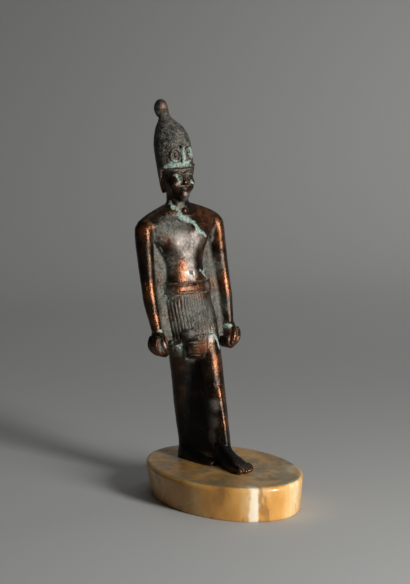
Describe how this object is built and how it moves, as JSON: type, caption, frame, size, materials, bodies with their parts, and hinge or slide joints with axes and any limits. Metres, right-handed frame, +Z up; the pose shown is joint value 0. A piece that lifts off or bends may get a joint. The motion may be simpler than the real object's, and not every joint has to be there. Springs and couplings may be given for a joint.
{
  "type": "deity statuette",
  "caption": "Small cast bronze striding figure in a tall crown with a bulb and a cobra on the brow, arms at the sides, pleated kilt, on an oval onyx marble plinth",
  "frame": {"origin": "centre of the plinth's underside, on the surface that it stands on", "axes": "+Z up; the figure faces -Y, along the plinth's long axis; +X is towards the figure's left hand"},
  "size_m": [0.0744, 0.1276, 0.2358],
  "materials": {
    "bronze": "cast bronze with dark patina, rubbed to copper on high places, green in the hollows",
    "onyx": "polished banded honey-coloured onyx marble"
  },
  "bodies": {
    "root": {"bronze_figure": "bronze", "onyx_plinth": "onyx"}
  },
  "joints": []
}
